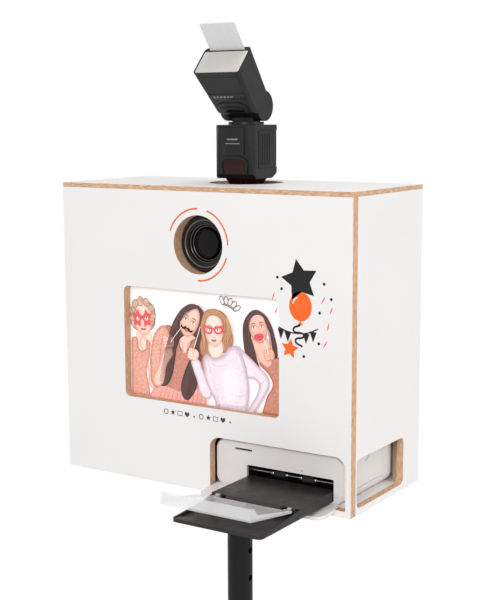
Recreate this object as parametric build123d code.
from build123d import *
import os
from math import cos, radians, sin, tan

os.makedirs("parts", exist_ok=True)

# Photo booth on a telescopic mast. Millimetres, +Z up, the front faces -Y.
# The origin is on the floor, on the axis of the mast.

# ---------------------------------------------------------------- driving sizes
# cabinet
CAB_W = 450.0            # outside width
CAB_H = 400.0            # outside height
CAB_D = 192.0            # outside depth
CAB_Z = 1150.0           # underside of the cabinet above the floor
FRONT_T = 12.0           # front board, laid over the sides
SIDE_T = 9.5             # side boards
TOP_T = 6.0              # top board, laid over the front and the sides
BOTTOM_T = 8.0           # bottom board, between the sides
BACK_T = 9.0             # back frame and back door
BACK_INSET = 3.0         # back frame sits this far inside the rear edge
BATTEN = 15.0            # square corner battens

# camera, seen through the round hole
LENS_UP = 325.5          # lens axis above the underside
LENS_HOLE_R = 38.0
COLLAR_T = 8.0           # ring board glued behind the lens hole
COLLAR_W = 8.0
LENS_R = 36.0            # front ring of the lens
LENS_LENGTH = 63.0
LENS_SET_BACK = 15.0     # front ring behind the front face
CAMERA_W = 130.0
CAMERA_H = 86.0
CAMERA_D = 54.0
LENS_ABOVE_CAMERA_BASE = 45.0
SHELF_T = 8.0
SHELF_D = 92.0

# screen
SCREEN_W = 244.0         # visible opening
SCREEN_H = 151.0
SCREEN_UP = 188.5        # centre above the underside
SCREEN_CORNER_R = 7.0
DISPLAY_EDGE = 14.0      # display reaches this far behind the board all round
DISPLAY_T = 12.0
GLASS_T = 2.0
GASKET_T = 2.0
GASKET_EDGE = 3.0        # gasket stands back from the opening

# printer, lower right corner
PRINTER_W = 188.0
PRINTER_H = 63.0
PRINTER_D = 136.0
PRINTER_GAP_L = 1.5      # opening to printer, left
PRINTER_GAP_R = 11.0     # opening to printer, right
PRINTER_GAP_TOP = 4.0
PRINTER_SET_BACK = 12.5  # printer front behind the front face
PRINTER_CORNER_R = 14.0
CARD_SLOT_W = 27.0
CARD_SLOT_H = 2.8
CARD_SLOT_IN = 29.0  # from the front plate's left edge
CARD_SLOT_UP = 52.8  # from its bottom edge
LAMP_R = 1.2
LAMP_IN = 130.5
LAMP_UP = 38.0
PRINTER_WALL = 2.5
FASCIA_T = 4.0
RIGHT_STILE = 8.0        # front board left beside the printer opening
OPENING_CORNER_R = 15.0
WINDOW_D = 131.0         # service window in the right side
WINDOW_H = 63.0
WINDOW_FROM_FRONT = 15.0
WINDOW_CORNER_R = 9.0

# paper cassette
TRAY_W = 126.0
TRAY_FROM_RIGHT = 13.0   # tray to the printer's right side
TRAY_UP = 5.5            # tray underside above the printer's underside
TRAY_OUT = 156.0         # tray reaches this far in front of the cabinet
TRAY_IN = 21.0           # and this far into the printer
TRAY_FLOOR = 2.0
TRAY_WALL = 2.5
TRAY_DEEP = 10.8         # floor underside to the top of the walls
COVER_T = 2.0
COVER_OUT = 70.0         # cover's flat part in front of the cabinet
STOP_REACH = 106.0       # paper stop, hinge to front edge
STOP_RISE = 9.0          # degrees
STOP_T = 1.8
STOP_WALL = 14.0
SLOT_H = 28.7            # paper slot in the printer
SLOT_SIDE = 1.2          # slot wider than the tray, each side
SLOT_UP = 4.8

# flash on the camera's shoe
FLASH_W = 62.0
FLASH_FRONT = 35.0       # shoe axis to the front of the battery body
FLASH_BACK = 34.0        # shoe axis to its back
FLASH_H = 71.0           # battery body
FLASH_LEAN = 7.0         # front of the body runs back this far towards its foot
FLASH_CHAMFER = 9.0      # upright front corners
FLASH_BASE_UP = 6.0      # body above the top board
FLASH_Y = 20.0           # shoe axis
TOP_HOLE_R = 50.0
PIVOT_UP = 25.0          # tilt axis above the battery body
PIVOT_R = 20.0
HEAD_W = 60.0            # at the tilt axis
HEAD_FLARE_W = 72.0      # at the panel
HEAD_FRONT = 34.0        # tilt axis to the head's front side, at the panel
HEAD_BACK = 12.0         # tilt axis to the head's back, at the panel
HEAD_REACH = 77.0        # tilt axis to the front edge of the panel
PANEL_SLANT = 10.0       # degrees, the panel looks further forward than the head
HEAD_TILT = 37.0         # degrees forward of upright
CARD_W = 54.0
CARD_T = 1.2
CARD_OUT = 40.0
CARD_IN = 12.0

# mast and base
POLE_R = 17.5
POLE_WALL = 2.0
POLE_IN_CABINET = 90.0
PIN_PITCH = 40.0
PIN_HOLE_R = 4.5
PIN_HOLES = 13
FIRST_PIN_HOLE_Z = 600.0
POLE_LOW_Z = 480.0
OUTER_TUBE_R = 22.0
OUTER_TUBE_WALL = 3.0
OUTER_TUBE_TOP = 825.0
COLLAR_LOW = 25.0        # clamp collar over the outer tube
COLLAR_HIGH = 45.0       # clamp collar round the pole
COLLAR_R = 30.0
PIN_Z = 840.0
KNOB_Z = 856.0
BASE_R = 225.0
BASE_T = 10.0
HUB_R = 52.0
HUB_FLANGE_T = 8.0
HUB_H = 80.0

# clearances
RUN = 0.05               # shaft in a bearing, on the radius
SNUG = 0.5               # panel in an opening
SLIDE = 0.4              # sliding plates
DOOR_GAP = 1.5           # back door in its frame

# ---------------------------------------------------------------- worked out
FRONT_Y = -CAB_D / 2
BACK_Y = CAB_D / 2
IN_Y = FRONT_Y + FRONT_T                 # back of the front board
IN_X = CAB_W / 2 - SIDE_T                # inside of the side boards
TOP_Z = CAB_Z + CAB_H
UNDER_TOP_Z = TOP_Z - TOP_T
FLOOR_Z = CAB_Z + BOTTOM_T               # inside floor of the cabinet
BACK_IN_Y = BACK_Y - BACK_INSET - BACK_T
BACK_OUT_Y = BACK_Y - BACK_INSET
LENS_Z = CAB_Z + LENS_UP
SCREEN_Z = CAB_Z + SCREEN_UP

OPEN_X1 = CAB_W / 2 - RIGHT_STILE
PRN_X1 = OPEN_X1 - PRINTER_GAP_R
PRN_X0 = PRN_X1 - PRINTER_W
OPEN_X0 = PRN_X0 - PRINTER_GAP_L
PRN_Y0 = FRONT_Y + PRINTER_SET_BACK
PRN_Y1 = PRN_Y0 + PRINTER_D
PRN_Z0 = FLOOR_Z
PRN_Z1 = PRN_Z0 + PRINTER_H
OPEN_Z1 = PRN_Z1 + PRINTER_GAP_TOP
PRN_CX = (PRN_X0 + PRN_X1) / 2

TRAY_X1 = PRN_X1 - TRAY_FROM_RIGHT
TRAY_X0 = TRAY_X1 - TRAY_W
TRAY_CX = (TRAY_X0 + TRAY_X1) / 2
TRAY_Z0 = PRN_Z0 + TRAY_UP
TRAY_Y0 = FRONT_Y - TRAY_OUT
TRAY_Y1 = PRN_Y0 + TRAY_IN
WALL_TOP = TRAY_Z0 + TRAY_DEEP
COVER_Z0 = WALL_TOP + 0.2
COVER_Z1 = COVER_Z0 + COVER_T
COVER_Y0 = FRONT_Y - COVER_OUT
COVER_AXIS = (PRN_Y0 + 6.0, WALL_TOP - 0.1)
STOP_AXIS = (COVER_Y0 - 2.6, COVER_Z0 + 0.3)
SLOT_Z0 = PRN_Z0 + SLOT_UP
SLOT_Z1 = SLOT_Z0 + SLOT_H
SLOT_X0 = TRAY_X0 - SLOT_SIDE
SLOT_X1 = TRAY_X1 + SLOT_SIDE

FLASH_Z0 = TOP_Z + FLASH_BASE_UP
FLASH_Z1 = FLASH_Z0 + FLASH_H
PIVOT_Z = FLASH_Z1 + PIVOT_UP

DISPLAY_W = SCREEN_W + 2 * DISPLAY_EDGE
DISPLAY_H = SCREEN_H + 2 * DISPLAY_EDGE
SHELF_Z1 = LENS_Z - LENS_ABOVE_CAMERA_BASE
SHELF_Z0 = SHELF_Z1 - SHELF_T
LENS_Y0 = FRONT_Y + LENS_SET_BACK
MOUNT_Y = LENS_Y0 + LENS_LENGTH
CAMERA_Y0 = MOUNT_Y + 6.0
CAMERA_Y1 = CAMERA_Y0 + CAMERA_D
CAMERA_Z0 = SHELF_Z1
CAMERA_Z1 = CAMERA_Z0 + CAMERA_H
SHELF_Y0 = CAMERA_Y0 - 18.0

NODES = {}


# ---------------------------------------------------------------- helpers
def span(x0, x1, y0, y1, z0, z1):
    """A block between two corners."""
    centre = ((x0 + x1) / 2, (y0 + y1) / 2, (z0 + z1) / 2)
    return Pos(*centre) * Box(x1 - x0, y1 - y0, z1 - z0)


def plate_xz(x0, x1, z0, z1, y0, y1, r):
    """A plate facing front and back, its outline's corners rounded to r."""
    face = Plane(origin=((x0 + x1) / 2, y0, (z0 + z1) / 2), x_dir=(1, 0, 0), z_dir=(0, 1, 0))
    return extrude(face * RectangleRounded(x1 - x0, z1 - z0, r), y1 - y0)


def plate_yz(y0, y1, z0, z1, x0, x1, r):
    """A plate facing left and right, its outline's corners rounded to r."""
    face = Plane(origin=(x0, (y0 + y1) / 2, (z0 + z1) / 2), x_dir=(0, 1, 0), z_dir=(1, 0, 0))
    return extrude(face * RectangleRounded(y1 - y0, z1 - z0, r), x1 - x0)


def plate_xy(x0, x1, y0, y1, z0, z1, r):
    """A plate lying flat, its outline's corners rounded to r."""
    face = Plane(origin=((x0 + x1) / 2, (y0 + y1) / 2, z0))
    return extrude(face * RectangleRounded(x1 - x0, y1 - y0, r), z1 - z0)


def front_rounded(x0, x1, y0, y1, z0, z1, r):
    """A plate lying flat, rounded to r at its two front corners only."""
    return plate_xy(x0, x1, y0, y1, z0, z1, r) + span(x0, x1, (y0 + y1) / 2, y1, z0, z1)


def rod_x(x0, x1, y, z, r):
    return Pos((x0 + x1) / 2, y, z) * Rot(0, 90, 0) * Cylinder(r, x1 - x0)


def rod_y(y0, y1, x, z, r):
    return Pos(x, (y0 + y1) / 2, z) * Rot(90, 0, 0) * Cylinder(r, y1 - y0)


def rod_z(z0, z1, x, y, r):
    return Pos(x, y, (z0 + z1) / 2) * Cylinder(r, z1 - z0)


def profile_x(points, x0, x1):
    """A closed (y, z) outline, extruded from x0 to x1."""
    face = Plane(origin=(x0, 0, 0), x_dir=(0, 1, 0), z_dir=(1, 0, 0))
    return extrude(face * make_face(Polyline(*points, close=True)), x1 - x0)


def profile_z(points, z0, z1):
    """A closed (x, y) outline, extruded from z0 to z1."""
    return extrude(Plane(origin=(0, 0, z0)) * make_face(Polyline(*points, close=True)), z1 - z0)


def keep(name, *solids):
    """Store the solids of one node."""
    NODES[name] = Compound(children=list(solids)) if len(solids) > 1 else solids[0]


SCREWS = []               # every screw in the cabinet, one node
WOOD_STRIPS = []          # corner battens and shelf cleats, one node


# ---------------------------------------------------------------- cabinet
def cabinet_boards():
    front = span(-CAB_W / 2, CAB_W / 2, FRONT_Y, IN_Y, CAB_Z, UNDER_TOP_Z)
    front -= rod_y(FRONT_Y - 1, IN_Y + 1, 0, LENS_Z, LENS_HOLE_R)
    front -= plate_xz(-SCREEN_W / 2, SCREEN_W / 2, SCREEN_Z - SCREEN_H / 2,
                      SCREEN_Z + SCREEN_H / 2, FRONT_Y - 1, IN_Y + 1, SCREEN_CORNER_R)
    front -= plate_xz(OPEN_X0, OPEN_X1, FLOOR_Z, OPEN_Z1, FRONT_Y - 1, IN_Y + 1, OPENING_CORNER_R)
    front -= span(OPEN_X0, OPEN_X1, FRONT_Y - 1, IN_Y + 1, FLOOR_Z, (FLOOR_Z + OPEN_Z1) / 2)
    keep("front_panel", front)

    screws = batten_screw_places()
    sides = {}
    for name, sign in (("left_panel", -1), ("right_panel", 1)):
        x0, x1 = sorted((sign * IN_X, sign * CAB_W / 2))
        sides[name] = span(x0, x1, IN_Y, BACK_Y, CAB_Z, UNDER_TOP_Z)
    window_y0 = FRONT_Y + WINDOW_FROM_FRONT
    sides["right_panel"] -= plate_yz(window_y0, window_y0 + WINDOW_D, FLOOR_Z, FLOOR_Z + WINDOW_H,
                                     IN_X - 1, CAB_W / 2 + 1, WINDOW_CORNER_R)
    for sign, y, z in screws:
        name = "right_panel" if sign > 0 else "left_panel"
        tip = IN_X + SCREW_BITE
        sides[name] -= rod_x(*sorted((sign * (IN_X - 1), sign * tip)), y, z, SCREW_R + RUN)
    for name, board in sides.items():
        keep(name, board)

    top = span(-CAB_W / 2, CAB_W / 2, FRONT_Y, BACK_Y, UNDER_TOP_Z, TOP_Z)
    keep("top_panel", top - rod_z(UNDER_TOP_Z - 1, TOP_Z + 1, 0, FLASH_Y, TOP_HOLE_R))
    bottom = span(-IN_X, IN_X, IN_Y, BACK_Y, CAB_Z, FLOOR_Z)
    bottom -= rod_z(CAB_Z - 1, FLOOR_Z + 1, 0, 0, SOCKET_R + SNUG)
    keep("bottom_panel", bottom)

    ring = rod_y(IN_Y, IN_Y + COLLAR_T, 0, LENS_Z, LENS_HOLE_R + COLLAR_W)
    keep("lens_collar", ring - rod_y(IN_Y - 1, IN_Y + COLLAR_T + 1, 0, LENS_Z, LENS_HOLE_R))


SCREW_R = 2.0
SCREW_BITE = 6.0
SCREW_HEAD_R = 4.0
SCREW_HEAD_T = 2.5


def batten_spans():
    """Each corner batten as (sign of x, y0, y1, z0)."""
    above_printer = OPEN_Z1 + 7.0
    return [(sign, y0, y0 + BATTEN, z0) for sign in (-1, 1)
            for y0, z0 in ((IN_Y, above_printer), (BACK_IN_Y - BATTEN, FLOOR_Z))]


def batten_screw_places():
    """Three screws in each batten: (sign of x, y, z)."""
    places = []
    for sign, y0, y1, z0 in batten_spans():
        for share in (0.1, 0.5, 0.9):
            places.append((sign, (y0 + y1) / 2, z0 + share * (UNDER_TOP_Z - z0)))
    return places


def battens():
    for sign, y0, y1, z0 in batten_spans():
        x0, x1 = sorted((sign * IN_X, sign * (IN_X - BATTEN)))
        block = span(x0, x1, y0, y1, z0, UNDER_TOP_Z)
        for _, y, z in [p for p in batten_screw_places()
                        if p[0] == sign and y0 < p[1] < y1]:
            inner = IN_X - BATTEN
            block -= rod_x(*sorted((sign * (inner - 1), sign * (IN_X + 1))), y, z, SCREW_R + RUN)
            block -= rod_x(*sorted((sign * (inner - 1), sign * (inner + SCREW_HEAD_T))), y, z,
                           SCREW_HEAD_R + RUN)
            shank = rod_x(*sorted((sign * inner, sign * (IN_X + SCREW_BITE))), y, z, SCREW_R)
            head = rod_x(*sorted((sign * inner, sign * (inner + SCREW_HEAD_T))), y, z,
                         SCREW_HEAD_R)
            SCREWS.append(shank + head)
        WOOD_STRIPS.append(block)


# ---------------------------------------------------------------- back door
DOOR_SIDE = 50.0          # frame left beside the door
DOOR_LOW = 48.0           # frame left below the door
DOOR_HIGH = 46.0
HINGE_LEAF = 25.0
HINGE_H = 50.0
HINGE_T = 1.5
HINGE_R = 3.0
HINGE_PIN_R = 1.5
KNUCKLE_GAP = 0.4
LOCK_R = 9.0
LOCK_CORE_R = 7.0
LOCK_IN = 20.0            # lock axis in from the door's free edge
CAM_LONG = 32.0
CAM_T = 2.5
CAM_GAP = 1.5
VENT_COUNT = 7
INLET_W = 58.0
INLET_H = 30.0
INLET_X = -120.0

DOOR_X = CAB_W / 2 - DOOR_SIDE
DOOR_Z0 = CAB_Z + DOOR_LOW
DOOR_Z1 = UNDER_TOP_Z - DOOR_HIGH
HINGE_X = DOOR_X
HINGE_Y = BACK_OUT_Y + HINGE_T + 2.0
LOCK_X = -DOOR_X + DOOR_GAP + LOCK_IN
LOCK_Z = (DOOR_Z0 + DOOR_Z1) / 2
INLET_Z = (FLOOR_Z + DOOR_Z0) / 2


def back():
    frame = span(-IN_X, IN_X, BACK_IN_Y, BACK_OUT_Y, FLOOR_Z, UNDER_TOP_Z)
    frame -= span(-DOOR_X, DOOR_X, BACK_IN_Y - 1, BACK_OUT_Y + 1, DOOR_Z0, DOOR_Z1)
    frame -= span(INLET_X - INLET_W / 2 + 4, INLET_X + INLET_W / 2 - 4, BACK_IN_Y - 1,
                  BACK_OUT_Y + 1, INLET_Z - INLET_H / 2 + 2, INLET_Z + INLET_H / 2 - 2)
    keep("back_frame", frame)

    door = span(-DOOR_X + DOOR_GAP, DOOR_X - DOOR_GAP, BACK_IN_Y, BACK_OUT_Y,
                DOOR_Z0 + DOOR_GAP, DOOR_Z1 - DOOR_GAP)
    vent_pitch = 9.0
    for i in range(VENT_COUNT):
        z = DOOR_Z0 + 40.0 + i * vent_pitch
        door -= plate_xz(-60, 60, z - 2, z + 2, BACK_IN_Y - 1, BACK_OUT_Y + 1, 1.9)
    door -= rod_y(BACK_IN_Y - 1, BACK_OUT_Y + 1, LOCK_X, LOCK_Z, LOCK_R)
    keep("rear_door", door)

    frame_leaves, door_leaves = [], []
    for z in (DOOR_Z0 + 60.0, DOOR_Z1 - 60.0):
        z0, third = z - HINGE_H / 2, HINGE_H / 3
        bore = rod_z(z0 - 1, z0 + HINGE_H + 1, HINGE_X, HINGE_Y, HINGE_PIN_R)
        loose = rod_z(z0 - 1, z0 + HINGE_H + 1, HINGE_X, HINGE_Y, HINGE_PIN_R + RUN)
        fixed = span(HINGE_X + 1.0, HINGE_X + HINGE_LEAF, BACK_OUT_Y, BACK_OUT_Y + HINGE_T,
                     z0, z0 + HINGE_H)
        for k in (0, 2):
            fixed += rod_z(z0 + k * third, z0 + (k + 1) * third, HINGE_X, HINGE_Y, HINGE_R)
        gap = span(HINGE_X - 5, HINGE_X + 5, BACK_OUT_Y - 1, HINGE_Y + 5,
                   z0 + third - KNUCKLE_GAP, z0 + 2 * third + KNUCKLE_GAP)
        frame_leaves.append(fixed - gap - bore)
        moving = span(HINGE_X - HINGE_LEAF, HINGE_X - 1.0, BACK_OUT_Y, BACK_OUT_Y + HINGE_T,
                      z0 + third, z0 + 2 * third)
        moving += rod_z(z0 + third, z0 + 2 * third, HINGE_X, HINGE_Y, HINGE_R)
        door_leaves.append(moving - loose)
        frame_leaves.append(rod_z(z0, z0 + HINGE_H, HINGE_X, HINGE_Y, HINGE_PIN_R))
    keep("hinge_leaves_and_pins", *frame_leaves)

    body = rod_y(BACK_IN_Y, BACK_OUT_Y + 2.0, LOCK_X, LOCK_Z, LOCK_R)
    body += rod_y(BACK_OUT_Y, BACK_OUT_Y + 2.0, LOCK_X, LOCK_Z, LOCK_R + 3.0)
    body -= rod_y(BACK_IN_Y - 1, BACK_OUT_Y + 3, LOCK_X, LOCK_Z, LOCK_CORE_R + RUN)
    keep("door_hardware", *door_leaves, body)
    cam_y1 = BACK_IN_Y - CAM_GAP
    core = rod_y(cam_y1 - CAM_T, BACK_OUT_Y + 1.5, LOCK_X, LOCK_Z, LOCK_CORE_R)
    core += span(LOCK_X - 7, LOCK_X + 7, cam_y1 - CAM_T, cam_y1, LOCK_Z - CAM_LONG, LOCK_Z)
    core -= span(LOCK_X - 0.8, LOCK_X + 0.8, BACK_OUT_Y - 6, BACK_OUT_Y + 3,
                 LOCK_Z - 4, LOCK_Z + 4)
    keep("lock_cam", core)


SWITCH_X = INLET_X + 15.0
SWITCH_W = 13.0
SWITCH_H = 20.0
SWITCH_R = 10.5
PIVOT_IN = 8.0


def power_inlet():
    x0, x1 = INLET_X - INLET_W / 2, INLET_X + INLET_W / 2
    z0, z1 = INLET_Z - INLET_H / 2, INLET_Z + INLET_H / 2
    inlet = plate_xz(x0, x1, z0, z1, BACK_OUT_Y, BACK_OUT_Y + 2.5, 3)
    inlet += span(x0 + 4.5, x1 - 4.5, BACK_IN_Y - 16, BACK_OUT_Y, z0 + 2.5, z1 - 2.5)
    sock_x0, sock_x1 = x0 + 7.5, x0 + 31.5
    inlet -= plate_xz(sock_x0, sock_x1, INLET_Z - 8.5, INLET_Z + 8.5, BACK_OUT_Y - 14,
                      BACK_OUT_Y + 3, 3)
    for dx, dz in ((-6, -2), (0, 3), (6, -2)):
        x = (sock_x0 + sock_x1) / 2 + dx
        inlet += span(x - 1, x + 1, BACK_OUT_Y - 14.5, BACK_OUT_Y - 4, INLET_Z + dz - 2,
                      INLET_Z + dz + 2)
    inlet -= span(SWITCH_X - SWITCH_W / 2 - SLIDE, SWITCH_X + SWITCH_W / 2 + SLIDE,
                  BACK_OUT_Y - 22, BACK_OUT_Y + 3, INLET_Z - SWITCH_H / 2 - 0.6,
                  INLET_Z + SWITCH_H / 2 + 0.6)
    inlet -= rod_x(SWITCH_X - SWITCH_W / 2 - 2, SWITCH_X + SWITCH_W / 2 + 2,
                   BACK_OUT_Y - PIVOT_IN, INLET_Z, 1.2 + RUN)
    keep("power_inlet", inlet)

    # the rocker is a slice of a drum with a shallow V cut across its face
    rocker = rod_x(SWITCH_X - SWITCH_W / 2, SWITCH_X + SWITCH_W / 2, BACK_OUT_Y - PIVOT_IN,
                   INLET_Z, SWITCH_R)
    rocker = rocker & span(SWITCH_X - 20, SWITCH_X + 20, BACK_OUT_Y - PIVOT_IN - 4,
                           BACK_OUT_Y + 10, INLET_Z - 9, INLET_Z + 9)
    rocker -= profile_x([(BACK_OUT_Y + 1.2, INLET_Z), (BACK_OUT_Y + 8, INLET_Z + 14),
                         (BACK_OUT_Y + 8, INLET_Z - 14)], SWITCH_X - 20, SWITCH_X + 20)
    rocker += rod_x(SWITCH_X - SWITCH_W / 2 - 1.8, SWITCH_X + SWITCH_W / 2 + 1.8,
                    BACK_OUT_Y - PIVOT_IN, INLET_Z, 1.2)
    keep("power_switch", rocker)


# ---------------------------------------------------------------- display
def display():
    x, z0, z1 = DISPLAY_W / 2, SCREEN_Z - DISPLAY_H / 2, SCREEN_Z + DISPLAY_H / 2
    y0 = IN_Y
    seal = plate_xz(-x, x, z0, z1, y0, y0 + GASKET_T, 6)
    seal -= plate_xz(-SCREEN_W / 2 - GASKET_EDGE, SCREEN_W / 2 + GASKET_EDGE,
                     SCREEN_Z - SCREEN_H / 2 - GASKET_EDGE, SCREEN_Z + SCREEN_H / 2 + GASKET_EDGE,
                     y0 - 1, y0 + GASKET_T + 1, 5)
    keep("display_gasket", seal)
    y1 = y0 + GASKET_T
    keep("display_glass", plate_xz(-x, x, z0, z1, y1, y1 + GLASS_T, 6))
    y2 = y1 + GLASS_T
    case = plate_xz(-x, x, z0, z1, y2, y2 + DISPLAY_T, 6)
    keep("display_case", fillet(case.faces().sort_by(Axis.Y)[-1].edges(), 2.0))
    y3 = y2 + DISPLAY_T
    clips = []
    for sx in (-1, 1):
        for sz in (-1, 1):
            z = SCREEN_Z + sz * DISPLAY_H * 0.3
            a, b = sx * (x + 0.3), sx * (x + 2.3)
            leg = span(*sorted((a, b)), y0, y3 + 1.5, z - 10, z + 10)
            grip = span(*sorted((sx * (x - 12), b)), y3, y3 + 1.5, z - 10, z + 10)
            foot = span(*sorted((a, sx * (x + 18))), y0, y0 + 2, z - 10, z + 10)
            clip = leg + grip + foot - rod_y(y0 - 1, y0 + 3, sx * (x + 11), z, 2 + RUN)
            clips.append(clip)
            SCREWS.append(rod_y(y0, y0 + 4, sx * (x + 11), z, 2)
                          + rod_y(y0 + 2, y0 + 4, sx * (x + 11), z, 4))
    keep("display_clips", *clips)


# ---------------------------------------------------------------- camera and lens
def camera():
    shelf = span(-IN_X, IN_X, SHELF_Y0, SHELF_Y0 + SHELF_D, SHELF_Z0, SHELF_Z1)
    screw_y = (CAMERA_Y0 + CAMERA_Y1) / 2
    shelf -= rod_z(SHELF_Z0 - 1, SHELF_Z1 + 1, 0, screw_y, 3.4)
    keep("camera_shelf", shelf)
    for s in (-1, 1):
        WOOD_STRIPS.append(span(*sorted((s * IN_X, s * (IN_X - BATTEN))), SHELF_Y0,
                                SHELF_Y0 + SHELF_D, SHELF_Z0 - BATTEN, SHELF_Z0))

    body = plate_xz(-CAMERA_W / 2, CAMERA_W / 2, CAMERA_Z0, CAMERA_Z1, CAMERA_Y0, CAMERA_Y1, 12)
    body += plate_xz(-32, 32, CAMERA_Z1 - 20, SHOE_Z0, CAMERA_Y0 - 4, CAMERA_Y1 - 4, 10)
    grip = plate_xz(-CAMERA_W / 2, -CAMERA_W / 2 + 26, CAMERA_Z0 + 4, CAMERA_Z1 - 8,
                    CAMERA_Y0 - 16, CAMERA_Y0 + 2, 10)
    body += fillet(grip.faces().sort_by(Axis.Y)[0].edges(), 6)
    body += rod_y(MOUNT_Y, CAMERA_Y0 + 1, 0, LENS_Z, 33)
    body -= rod_z(CAMERA_Z0 - 1, CAMERA_Z0 + 6, 0, screw_y, 3.1)
    body -= rod_z(CAMERA_Z1 - 5, CAMERA_Z1 + 1, SHUTTER_X, screw_y, 4.2)
    shoe = span(-10.5, 10.5, FLASH_Y - 9.5, FLASH_Y + 9.5, SHOE_Z0, SHOE_Z0 + 1.2)
    for s in (-1, 1):
        shoe += span(*sorted((s * 9.4, s * 10.5)), FLASH_Y - 9.5, FLASH_Y + 9.5, SHOE_Z0,
                     SHOE_Z0 + 5)
        shoe += span(*sorted((s * 6.6, s * 10.5)), FLASH_Y - 9.5, FLASH_Y + 9.5, SHOE_Z0 + 4,
                     SHOE_Z0 + 5)
    keep("camera_body", body + shoe)
    SCREWS.append(rod_z(SHELF_Z0 - 3, CAMERA_Z0 + 5, 0, screw_y, 3)
                  + rod_z(SHELF_Z0 - 3, SHELF_Z0, 0, screw_y, 7))
    keep("camera_shutter_button", rod_z(CAMERA_Z1 - 2.5, CAMERA_Z1 + 1.5, SHUTTER_X, screw_y,
                                        3.8))

    # lens: fixed barrel, zoom ring, focus ring, front ring and front glass
    zoom_y0, zoom_y1 = MOUNT_Y - 38, MOUNT_Y - 12
    focus_y0, focus_y1 = MOUNT_Y - 56, MOUNT_Y - 41
    barrel = rod_y(focus_y0 - 6, MOUNT_Y, 0, LENS_Z, LENS_R - 6)
    barrel += rod_y(zoom_y1 + 0.4, MOUNT_Y, 0, LENS_Z, LENS_R - 1.5)
    barrel += rod_y(focus_y1 + 0.4, zoom_y0 - 0.4, 0, LENS_Z, LENS_R - 2)
    barrel -= rod_y(focus_y0 - 7, MOUNT_Y - 8, 0, LENS_Z, LENS_R - 10)
    keep("lens_barrel", barrel)
    for name, y0, y1, r in (("lens_zoom_ring", zoom_y0, zoom_y1, LENS_R - 1),
                            ("lens_focus_ring", focus_y0, focus_y1, LENS_R - 1.5)):
        ring = rod_y(y0, y1, 0, LENS_Z, r)
        keep(name, ring - rod_y(y0 - 1, y1 + 1, 0, LENS_Z, LENS_R - 6 + RUN))
    front = rod_y(LENS_Y0, focus_y0 - 0.4, 0, LENS_Z, LENS_R)
    front -= rod_y(LENS_Y0 - 1, LENS_Y0 + 5, 0, LENS_Z, LENS_R - 3.5)
    front -= rod_y(LENS_Y0, LENS_Y0 + 9, 0, LENS_Z, LENS_R - 7)
    front -= rod_y(LENS_Y0, focus_y0, 0, LENS_Z, LENS_R - 12)
    front -= rod_y(focus_y0 - 6, focus_y0, 0, LENS_Z, LENS_R - 6)
    keep("lens_front_ring", front)
    dome_r = 48.0
    glass_r = LENS_R - 7
    glass = Pos(0, LENS_Y0 + 4 + dome_r, LENS_Z) * Sphere(dome_r)
    keep("lens_glass", glass & rod_y(LENS_Y0, LENS_Y0 + 9, 0, LENS_Z, glass_r - RUN))


SHOE_Z0 = FLASH_Z0 - 20.0
SHUTTER_X = -CAMERA_W / 2 + 15.0


# ---------------------------------------------------------------- computer and supply
def electronics():
    x0, x1 = -IN_X + 14, -IN_X + 129
    y0, y1 = BACK_IN_Y - 26 - 112, BACK_IN_Y - 26
    case = plate_xy(x0, x1, y0, y1, FLOOR_Z + 1.5, FLOOR_Z + 39, 8)
    case = fillet(case.faces().sort_by(Axis.Z)[-1].edges(), 2.5)
    for x in (x0 + 12, x1 - 12):
        for y in (y0 + 12, y1 - 12):
            case += rod_z(FLOOR_Z, FLOOR_Z + 2, x, y, 5)
    keep("mini_computer", case)
    brick = plate_xy(-SOCKET_R - 55, -SOCKET_R - 7, -58, 62, FLOOR_Z, FLOOR_Z + 32, 6)
    keep("power_supply", fillet(brick.faces().sort_by(Axis.Z)[-1].edges(), 3))


# ---------------------------------------------------------------- printer
RIBBON_Y0 = PRN_Y0 + 18.0
RIBBON_Y1 = PRN_Y1 - 26.0
RIBBON_Z0 = PRN_Z0 + 14.0
RIBBON_Z1 = PRN_Z1 - 9.0
RIBBON_AXIS = (PRN_X1 - PRINTER_WALL / 2, RIBBON_Z0 + 2.1)
SHELL_X0 = PRN_X0 + 5.0  # the front plate is wider than the shell on its left
THROAT_DEEP = 50.0
THROAT_WALL = 1.5
ROLLER_Y = PRN_Y0 + 14.0
ROLLER_Z = COVER_Z1 + 5.5
ROLLER_R = 4.5
ROLLER_SHAFT_R = 2.0
BUTTON_X = PRN_X0 + 30.0
BUTTON_Y = PRN_Y0 + 60.0
FLAP_T = 2.2
FLAP_REACH = 46.0
FLAP_DROOP = 5.0
FLAP_AXIS = (PRN_Y0 - 2.2, PRN_Z0 + 2.4)


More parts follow.
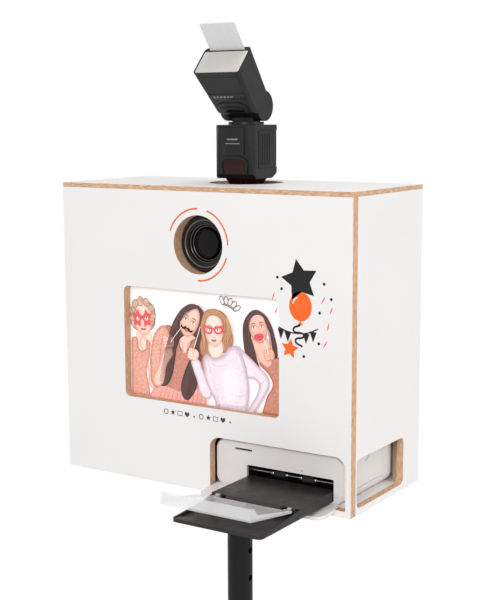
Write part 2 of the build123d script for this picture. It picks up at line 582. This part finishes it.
def printer():
    shell_y0 = PRN_Y0 + FASCIA_T
    w = PRINTER_WALL
    shell = plate_xz(SHELL_X0, PRN_X1, PRN_Z0, PRN_Z1, shell_y0, PRN_Y1, PRINTER_CORNER_R)
    shell = fillet(shell.faces().sort_by(Axis.Y)[-1].edges(), 2)
    shell -= plate_xz(SHELL_X0 + w, PRN_X1 - w, PRN_Z0 + w, PRN_Z1 - w, shell_y0 - 1, PRN_Y1 - w,
                      PRINTER_CORNER_R - w)
    shell -= span(PRN_X1 - w - 1, PRN_X1 + 1, RIBBON_Y0, RIBBON_Y1, RIBBON_Z0, RIBBON_Z1)
    shell -= rod_y(RIBBON_Y0 - 3, RIBBON_Y1 + 3, *RIBBON_AXIS, 0.8 + RUN)
    shell -= rod_z(PRN_Z1 - w - 1, PRN_Z1 + 1, BUTTON_X, BUTTON_Y, 5.4)
    keep("printer_shell", shell)

    fascia = plate_xz(PRN_X0, PRN_X1, PRN_Z0, PRN_Z1, PRN_Y0, shell_y0, PRINTER_CORNER_R)
    fascia = fillet(fascia.faces().sort_by(Axis.Y)[0].edges(), 2.2)
    fascia -= plate_xz(SLOT_X0, SLOT_X1, SLOT_Z0, SLOT_Z1, PRN_Y0 - 1, shell_y0 + 1, 2.0)
    card_x0, card_z0 = PRN_X0 + CARD_SLOT_IN, PRN_Z0 + CARD_SLOT_UP - CARD_SLOT_H / 2
    fascia -= plate_xz(card_x0, card_x0 + CARD_SLOT_W, card_z0, card_z0 + CARD_SLOT_H, PRN_Y0 - 1,
                       shell_y0 + 1, 1.0)
    fascia -= rod_y(PRN_Y0 - 1, shell_y0 + 1, PRN_X0 + LAMP_IN, PRN_Z0 + LAMP_UP, LAMP_R)
    keep("printer_fascia", fascia)

    t = THROAT_WALL
    throat = span(SLOT_X0 - t, SLOT_X1 + t, shell_y0, shell_y0 + THROAT_DEEP, SLOT_Z0 - t,
                  SLOT_Z1 + t)
    throat -= span(SLOT_X0, SLOT_X1, shell_y0 - 1, shell_y0 + THROAT_DEEP - t, SLOT_Z0, SLOT_Z1)
    throat -= rod_x(SLOT_X0 - t - 1, SLOT_X1 + t + 1, ROLLER_Y, ROLLER_Z, ROLLER_SHAFT_R + RUN)
    keep("printer_throat", throat)
    rollers = [rod_x(SLOT_X0 - t, SLOT_X1 + t, ROLLER_Y, ROLLER_Z, ROLLER_SHAFT_R)]
    for share in (0.34, 0.66):
        x = SLOT_X0 + share * (SLOT_X1 - SLOT_X0)
        rollers.append(rod_x(x - 8, x + 8, ROLLER_Y, ROLLER_Z, ROLLER_R)
                       - rod_x(x - 9, x + 9, ROLLER_Y, ROLLER_Z, ROLLER_SHAFT_R))
    keep("paper_rollers", *rollers)

    # ribbon door in the right side, hinged along its lower edge
    door = span(PRN_X1 - PRINTER_WALL + 0.1, PRN_X1, RIBBON_Y0 + SLIDE, RIBBON_Y1 - SLIDE,
                RIBBON_Z0 + 0.6, RIBBON_Z1 - SLIDE)
    door -= rod_x(PRN_X1 - 1.0, PRN_X1 + 1, (RIBBON_Y0 + RIBBON_Y1) / 2, RIBBON_Z1, 9)
    door += rod_y(RIBBON_Y0 - 2.5, RIBBON_Y1 + 2.5, *RIBBON_AXIS, 0.8)
    keep("ribbon_door", door)
    spool_z, spool_r = PRN_Z1 - 18.5, 8.0
    cartridge = span(PRN_X1 - 120, PRN_X1 - 8, PRN_Y0 + 31, PRN_Y0 + 69, spool_z + 4,
                     spool_z + 7)
    for y in (PRN_Y0 + 26, PRN_Y0 + 74):
        cartridge += rod_x(PRN_X1 - 120, PRN_X1 - 8, y, spool_z, spool_r)
    for x in (PRN_X1 - 120, PRN_X1 - 11):
        cartridge += span(x, x + 3, PRN_Y0 + 26, PRN_Y0 + 74, spool_z - 6, spool_z + 7)
    keep("ribbon_cartridge", cartridge)

    keep("printer_power_button", rod_z(PRN_Z1 - 3, PRN_Z1 + 1.3, BUTTON_X, BUTTON_Y, 5))

    # front flap, open below the tray and resting on the edge of the opening
    ya, za = FLAP_AXIS
    flap = front_rounded(PRN_X0 + 2, PRN_X1 - 2, ya - FLAP_REACH, ya, za - FLAP_T / 2,
                         za + FLAP_T / 2, 13)
    flap += front_rounded(PRN_X0 + 2, PRN_X1 - 2, ya - FLAP_REACH, FRONT_Y - 3,
                          za - FLAP_T / 2 - 2.2, za, 13)
    flap += rod_x(PRN_X0 + 4, PRN_X1 - 4, ya, za, 1.4)
    turn = Pos(0, ya, za) * Rot(FLAP_DROOP, 0, 0) * Pos(0, -ya, -za)
    keep("printer_front_flap", turn * flap)


# ---------------------------------------------------------------- paper cassette
KNUCKLE_R = 2.6
COVER_PIN_R = 1.2


def cassette():
    y0, y1, z0 = TRAY_Y0, TRAY_Y1, TRAY_Z0
    rim = 2.4
    floor = front_rounded(TRAY_X0, TRAY_X1, y0, y1, z0, z0 + TRAY_FLOOR, 7)
    front = front_rounded(TRAY_X0, TRAY_X1, y0, y1, z0, z0 + TRAY_FLOOR + rim, 7)
    front = front & span(TRAY_X0 - 1, TRAY_X1 + 1, y0 - 1, y0 + 14, z0 - 1, z0 + 10)
    front -= plate_xy(TRAY_X0 + 2, TRAY_X1 - 2, y0 + 2, y0 + 40, z0 + TRAY_FLOOR + rim - 1, z0 + 12,
                      5)
    tray = floor + front
    side = [(y0 + 12, z0), (y1, z0), (y1, WALL_TOP), (COVER_Y0 - 3, WALL_TOP),
            (COVER_Y0 - 14, WALL_TOP - 2.5), (y0 + 12, z0 + TRAY_FLOOR + rim)]
    for xa in (TRAY_X0, TRAY_X1 - TRAY_WALL):
        tray += profile_x(side, xa, xa + TRAY_WALL)
    tray += span(TRAY_X0, TRAY_X1, y1 - TRAY_WALL, y1, z0, WALL_TOP - 3)
    tray -= rod_x(TRAY_X0 - 1, TRAY_X1 + 1, *COVER_AXIS, COVER_PIN_R + RUN)
    keep("cassette_tray", tray)

    # cover: flat plate, sloping front lip, ears and pins at the printer end
    ya, za = COVER_AXIS
    cover = span(TRAY_X0, TRAY_X1, COVER_Y0, ya - 0.6, COVER_Z0, COVER_Z1)
    inner0, inner1 = TRAY_X0 + TRAY_WALL + SLIDE, TRAY_X1 - TRAY_WALL - SLIDE
    lip_y, lip_z = COVER_Y0 - 17, TRAY_Z0 + TRAY_FLOOR + 1.5
    cover += profile_x([(COVER_Y0 + 1, COVER_Z0), (COVER_Y0 + 1, COVER_Z1), (COVER_Y0, COVER_Z1),
                        (COVER_Y0 - 10, COVER_Z1 - 4), (lip_y, lip_z), (lip_y + 1.5, lip_z),
                        (COVER_Y0 - 9, COVER_Z1 - 6), (COVER_Y0 - 1, COVER_Z0)],
                       inner0 + 20, inner1 - 20)
    for xa, pa, pb in ((inner0, TRAY_X0 + 0.4, inner0 + 1),
                       (inner1 - 2.5, inner1 - 1, TRAY_X1 - 0.4)):
        cover += span(xa, xa + 2.5, ya - 5, ya + 2, za - 3, COVER_Z0 + 0.5)
        cover += rod_x(pa, pb, ya, za, COVER_PIN_R)
    hy, hz = STOP_AXIS
    for s in (-1, 1):
        xa, xb = sorted((TRAY_CX + s * (TRAY_W / 2 - TRAY_WALL - 0.7),
                         TRAY_CX + s * (TRAY_W / 2 - 8)))
        cover += span(xa, xb, hy, COVER_Y0 + 1, hz - 1, COVER_Z1)
        cover += rod_x(xa, xb, hy, hz, KNUCKLE_R)
        pa, pb = sorted((TRAY_CX + s * (TRAY_W / 2 - 8), TRAY_CX + s * (TRAY_W / 2 - 14)))
        cover += rod_x(pa, pb, hy, hz, COVER_PIN_R)
    keep("cassette_cover", cover)

    # clear stop that holds the finished prints, raised towards its front edge
    x0, x1 = TRAY_X0, TRAY_X1
    stop = plate_xy(x0, x1, hy - STOP_REACH, hy - 14, hz - STOP_T / 2, hz + STOP_T / 2, 2)
    stop += plate_xy(x0, x1, hy - STOP_REACH, hy - STOP_REACH + STOP_T, hz - STOP_T / 2,
                     hz + STOP_WALL, 0.8)
    for s in (-1, 1):
        xa, xb = sorted((TRAY_CX + s * (TRAY_W / 2 - 8.4), TRAY_CX + s * (TRAY_W / 2 - 14)))
        stop += span(xa, xb, hy - 20, hy, hz - STOP_T / 2, hz + STOP_T / 2)
        stop += rod_x(xa, xb, hy, hz, KNUCKLE_R)
        stop -= rod_x(xa - 0.2, xb + 0.2, hy, hz, COVER_PIN_R + RUN)
        wa, wb = sorted((TRAY_CX + s * TRAY_W / 2, TRAY_CX + s * (TRAY_W / 2 - STOP_T)))
        stop += profile_x([(hy - STOP_REACH, hz), (hy - 14.5, hz), (hy - 14.5, hz + 2),
                           (hy - STOP_REACH + 14, hz + 6), (hy - STOP_REACH + 6, hz + STOP_WALL),
                           (hy - STOP_REACH, hz + STOP_WALL)], wa, wb)
    rise = Pos(0, hy, hz) * Rot(-STOP_RISE, 0, 0) * Pos(0, -hy, -hz)
    keep("paper_stop", rise * stop)


# ---------------------------------------------------------------- flash
RING_R = 15.0
CHEEK_IN = 17.0
NECK_HALF = 9.0
TILT_PIN_R = 5.0
TURRET_T = 3.6
BATTERY_Y0 = FLASH_Y - FLASH_FRONT + 17.0
BATTERY_Y1 = FLASH_Y + FLASH_BACK - 14.0
WINDOW_LOW = 8.0
WINDOW_TALL = 20.0
WINDOW_HALF_W = 18.0


def flash_place():
    """The head is drawn upright about the tilt axis, then turned forward."""
    return (Pos(0, FLASH_Y, PIVOT_Z) * Rot(HEAD_TILT, 0, 0) * Pos(0, -FLASH_Y, -PIVOT_Z))


def flash():
    y0, y1 = FLASH_Y - FLASH_FRONT, FLASH_Y + FLASH_BACK
    x = FLASH_W / 2
    foot = span(-9.2, 9.2, FLASH_Y - 9, FLASH_Y + 9, SHOE_Z0 + 1.3, SHOE_Z0 + 3.7)
    foot += rod_z(SHOE_Z0 + 3, FLASH_Z0, 0, FLASH_Y, 6)
    foot += rod_z(SHOE_Z0 + 5.5, FLASH_Z0, 0, FLASH_Y, 6.2)
    block = loft(Sketch() + [Plane(origin=(0, FLASH_Y, FLASH_Z0 - 8)) * RectangleRounded(36, 34, 4),
                             Plane(origin=(0, FLASH_Y, FLASH_Z0)) * RectangleRounded(44, 42, 5)])
    keep("flash_foot", foot + block)
    ring = rod_z(SHOE_Z0 + 5.6, FLASH_Z0 - 8.4, 0, FLASH_Y, RING_R)
    ring -= rod_z(SHOE_Z0 + 5, FLASH_Z0, 0, FLASH_Y, 6.2 + RUN)
    for i in range(16):
        a = radians(22.5 * i)
        ring -= rod_z(SHOE_Z0 + 5, FLASH_Z0, RING_R * cos(a), FLASH_Y + RING_R * sin(a), 1.2)
    keep("flash_lock_ring", ring)

    # battery body: the front leans back towards the foot, the lower back corner is swept forward
    side = [(y0 + FLASH_LEAN, FLASH_Z0 + 6), (y0 + FLASH_LEAN + 4, FLASH_Z0), (y1 - 18, FLASH_Z0),
            (y1 - 7, FLASH_Z0 + 6), (y1, FLASH_Z0 + 26), (y1, FLASH_Z1), (y0, FLASH_Z1)]
    body = profile_x(side, -x, x)
    c = FLASH_CHAMFER
    plan = [(-x, y1 - 6), (-x, y0 + c), (-x + c, y0), (x - c, y0), (x, y0 + c), (x, y1 - 6),
            (x - 6, y1), (-x + 6, y1)]
    body = body & profile_z(plan, FLASH_Z0 - 1, FLASH_Z1 + 1)
    body -= span(x - 2.0, x + 1, BATTERY_Y0, y1 - 3, FLASH_Z0 + 14, FLASH_Z1 - 7)
    for bx in FLASH_BUTTONS.values():
        body -= rod_y(y1 - 4, y1 + 1, bx, FLASH_BUTTON_Z, 3.5)
    body -= plate_xz(-20, 20, FLASH_Z1 - 27, FLASH_Z1 - 7, y1 - 1, y1 + 1, 1.5)
    keep("flash_body", body)
    for name, bx in FLASH_BUTTONS.items():
        keep(name, rod_y(y1 - 2.2, y1 + 0.9, bx, FLASH_BUTTON_Z, 3.2))
    door = span(x - 1.9, x + 0.6, BATTERY_Y0 + 0.3, BATTERY_Y1, FLASH_Z0 + 14.4, FLASH_Z1 - 7.4)
    for i in range(6):
        y = BATTERY_Y0 + 4 + 4.2 * i
        door -= span(x + 0.1, x + 1, y, y + 1.6, FLASH_Z0 + 18, FLASH_Z1 - 11)
    keep("flash_battery_door", door)
    lean = FLASH_LEAN / (FLASH_H - 6)
    low, high = FLASH_Z0 + WINDOW_LOW, FLASH_Z0 + WINDOW_LOW + WINDOW_TALL
    near_low, near_high = y0 + lean * (FLASH_Z1 - low), y0 + lean * (FLASH_Z1 - high)
    window = profile_x([(near_low, low), (near_high, high), (near_high - 0.7, high),
                        (near_low - 0.7, low)], -WINDOW_HALF_W, WINDOW_HALF_W)
    window = window & plate_xz(-WINDOW_HALF_W, WINDOW_HALF_W, low, high, y0 - 5, y1, 7)
    keep("flash_red_window", window)

    # turret turns on the battery body, and carries the tilt lug
    turret = rod_z(FLASH_Z1 + SLIDE, FLASH_Z1 + SLIDE + TURRET_T, 0, FLASH_Y, 24)
    turret += rod_x(-CHEEK_IN + SLIDE, CHEEK_IN - SLIDE, FLASH_Y, PIVOT_Z, PIVOT_R - 2)
    turret += span(-CHEEK_IN + SLIDE, CHEEK_IN - SLIDE, FLASH_Y - NECK_HALF,
                   FLASH_Y + NECK_HALF, FLASH_Z1 + SLIDE, PIVOT_Z)
    turret -= rod_x(-CHEEK_IN - 1, CHEEK_IN + 1, FLASH_Y, PIVOT_Z, TILT_PIN_R + RUN)
    keep("flash_turret", turret)

    keep_head()


def slant():
    """Things on the panel end are drawn square to the head, then turned to the panel's slant."""
    y, z = FLASH_Y - HEAD_FRONT, PIVOT_Z + HEAD_REACH
    return Pos(0, y, z) * Rot(PANEL_SLANT, 0, 0) * Pos(0, -y, -z)


def keep_head():
    """Flash head, drawn upright over the tilt axis: it flares towards the slanted panel."""
    y, z = FLASH_Y, PIVOT_Z
    top = z + HEAD_REACH
    back_top = top + (HEAD_FRONT + HEAD_BACK) * tan(radians(PANEL_SLANT))
    hw = HEAD_W / 2
    lean = radians(PANEL_SLANT)
    middle_y = y - (HEAD_FRONT - HEAD_BACK) / 2
    root = Plane(origin=(0, y, z)) * RectangleRounded(HEAD_W, 2 * PIVOT_R, HEAD_EDGE_R)
    waist = Plane(origin=(0, y - WAIST_FORWARD, z + WAIST_UP))
    waist = waist * RectangleRounded(HEAD_W, WAIST_DEEP, HEAD_EDGE_R)
    mouth = Plane(origin=(0, middle_y, (top + back_top) / 2), x_dir=(1, 0, 0),
                  z_dir=(0, -sin(lean), cos(lean)))
    mouth = mouth * RectangleRounded(HEAD_FLARE_W, (HEAD_FRONT + HEAD_BACK) / cos(lean), HEAD_EDGE_R)
    head = loft(Sketch() + [root, waist], ruled=True) + loft(Sketch() + [waist, mouth], ruled=True)
    head += rod_x(-hw, hw, y, z, PIVOT_R)
    slot = rod_x(-CHEEK_IN, CHEEK_IN, y, z, PIVOT_R + 1.0)
    slot += span(-CHEEK_IN, CHEEK_IN, y - 30, y + 30, z - 30, z - 2)
    head -= slot
    head += rod_x(-CHEEK_IN - 2, CHEEK_IN + 2, y, z, TILT_PIN_R)
    panel_y0, panel_y1 = y - HEAD_FRONT + 2.0, y - HEAD_FRONT + 2.0 + PANEL_H
    head -= slant() * plate_xy(-PANEL_W / 2, PANEL_W / 2, panel_y0, panel_y1, top - 6, top + 3, 3)
    head -= span(-CARD_W / 2 - SLIDE, CARD_W / 2 + SLIDE, CARD_Y - SLIDE,
                 CARD_Y + CARD_T + SLIDE, back_top - CARD_OUT - CARD_IN - 2, back_top + 1)
    keep("flash_head", flash_place() * head)
    panel = plate_xy(-PANEL_W / 2, PANEL_W / 2, panel_y0, panel_y1, top - 6, top + 0.5, 3)
    panel = fillet(panel.faces().sort_by(Axis.Z)[-1].edges(), 1.5)
    keep("flash_lens_panel", flash_place() * slant() * panel)
    card = plate_xy(-CARD_W / 2, CARD_W / 2, CARD_Y, CARD_Y + CARD_T, back_top - CARD_IN,
                    back_top + CARD_OUT, 0.5)
    keep("bounce_card", flash_place() * card)


HEAD_EDGE_R = 6.0
WAIST_UP = 9.0           # above the tilt axis the head is at its deepest
WAIST_FORWARD = 4.5
WAIST_DEEP = 45.0
PANEL_W = HEAD_FLARE_W - 4.0
PANEL_H = 38.0
CARD_Y = FLASH_Y + HEAD_BACK - 4.6
FLASH_BUTTON_Z = FLASH_Z1 - 34.0
FLASH_BUTTONS = {"flash_power_button": -12.0, "flash_test_button": 12.0}


# ---------------------------------------------------------------- mast and base
SOCKET_R = POLE_R + 3.0
SOCKET_FLANGE = 62.0
SOCKET_FLANGE_T = 3.0
POLE_TOP = FLOOR_Z + POLE_IN_CABINET
KNOB_STEM_R = 4.0
PIN_R = PIN_HOLE_R - 0.5
PIN_TRAVEL = 12.0
HUB_BOLTS = 4
HUB_BOLT_R = 4.0
HUB_BOLT_PCD_R = 41.0
HUB_WALL = 6.0


def mast():
    z0 = CAB_Z - SOCKET_FLANGE_T
    socket = rod_z(z0, POLE_TOP + 3.0, 0, 0, SOCKET_R)
    socket += rod_z(z0, CAB_Z, 0, 0, SOCKET_FLANGE)
    socket -= rod_z(z0 - 1, POLE_TOP, 0, 0, POLE_R + RUN)
    for i in range(4):
        a = radians(45 + 90 * i)
        px, py = (SOCKET_FLANGE - 12) * cos(a), (SOCKET_FLANGE - 12) * sin(a)
        socket -= rod_z(z0 - 1, CAB_Z + 1, px, py, 2.5 + RUN)
        NODES["bottom_panel"] -= rod_z(CAB_Z - 1, CAB_Z + 6, px, py, 2.5 + RUN)
        SCREWS.append(rod_z(z0 - 2.5, CAB_Z + 5, px, py, 2.5) + rod_z(z0 - 2.5, z0, px, py, 5))
    keep("pole_socket", socket)

    pole = rod_z(POLE_LOW_Z, POLE_TOP, 0, 0, POLE_R)
    pole -= rod_z(POLE_LOW_Z - 1, POLE_TOP - 4, 0, 0, POLE_R - POLE_WALL)
    for i in range(PIN_HOLES):
        z = FIRST_PIN_HOLE_Z + i * PIN_PITCH
        pole -= rod_x(-POLE_R - 1, POLE_R + 1, 0, z, PIN_HOLE_R)
    keep("inner_mast", pole)

    tube_r0 = OUTER_TUBE_R - OUTER_TUBE_WALL
    base_z = BASE_T
    tube = rod_z(base_z, OUTER_TUBE_TOP, 0, 0, OUTER_TUBE_R)
    keep("outer_mast", tube - rod_z(base_z - 1, OUTER_TUBE_TOP + 1, 0, 0, tube_r0))

    z0, z1 = OUTER_TUBE_TOP - COLLAR_LOW, OUTER_TUBE_TOP + COLLAR_HIGH
    collar = rod_z(z0, z1, 0, 0, COLLAR_R)
    collar = fillet(collar.edges().filter_by(GeomType.CIRCLE), 2.5)
    collar -= rod_z(z0 - 1, OUTER_TUBE_TOP, 0, 0, OUTER_TUBE_R)
    collar -= rod_z(z0, z1 + 1, 0, 0, POLE_R + RUN)
    boss_x = COLLAR_R + 8
    collar += rod_x(COLLAR_R - 3, boss_x, 0, PIN_Z, 9) + rod_x(-boss_x, -COLLAR_R + 3, 0,
                                                               KNOB_Z, 9)
    collar -= rod_x(0, boss_x + 1, 0, PIN_Z, PIN_R + RUN)
    collar -= rod_x(-boss_x - 1, 0, 0, KNOB_Z, KNOB_STEM_R + RUN)
    keep("clamp_collar", collar)

    stem_tip = -POLE_R - 0.4
    knob_x = -boss_x - 0.5
    knob = rod_x(knob_x - 16, knob_x, 0, KNOB_Z, 15)
    for i in range(6):
        a = radians(60 * i)
        knob -= rod_x(knob_x - 17, knob_x + 1, 20 * cos(a), KNOB_Z + 20 * sin(a), 8)
    keep("clamp_knob", knob + rod_x(knob_x - 1, stem_tip, 0, KNOB_Z, KNOB_STEM_R))
    pin_tip = POLE_R + 1.0
    pin = rod_x(pin_tip, boss_x + PIN_TRAVEL + 8, 0, PIN_Z, PIN_R)
    pin += Pos(boss_x + PIN_TRAVEL + 14, 0, PIN_Z) * Sphere(11)
    keep("index_pin", pin)

    plate = rod_z(0, base_z, 0, 0, BASE_R)
    plate = fillet(plate.edges().sort_by(Axis.Z)[-1], 3)
    hub = rod_z(base_z, base_z + HUB_FLANGE_T, 0, 0, HUB_R)
    hub += rod_z(base_z, base_z + HUB_H, 0, 0, OUTER_TUBE_R + HUB_WALL)
    hub = fillet(hub.edges().filter_by(GeomType.CIRCLE).sort_by(Axis.Z)[-1], 2)
    hub -= rod_z(base_z - 1, base_z + HUB_H + 1, 0, 0, OUTER_TUBE_R)
    bolts, bolt_z0 = [], 2.0
    for i in range(HUB_BOLTS):
        a = radians(45 + 360 / HUB_BOLTS * i)
        px, py = HUB_BOLT_PCD_R * cos(a), HUB_BOLT_PCD_R * sin(a)
        hole = rod_z(bolt_z0, base_z + HUB_FLANGE_T + 1, px, py, HUB_BOLT_R + RUN)
        plate -= hole
        hub -= hole
        head = Pos(px, py, base_z + HUB_FLANGE_T) * extrude(RegularPolygon(7.5, 6), 5.3)
        bolts.append(rod_z(bolt_z0, base_z + HUB_FLANGE_T + 1, px, py, HUB_BOLT_R) + head)
    keep("base_plate", plate)
    keep("base_hub", hub)
    keep("hub_bolts", *bolts)


cabinet_boards()
battens()
back()
power_inlet()
display()
camera()
electronics()
printer()
cassette()
flash()
mast()
keep("wood_strips", *WOOD_STRIPS)
keep("cabinet_screws", *SCREWS)

for name, shape in NODES.items():
    export_step(shape, "parts/" + name + ".step")
print(len(NODES), "nodes")
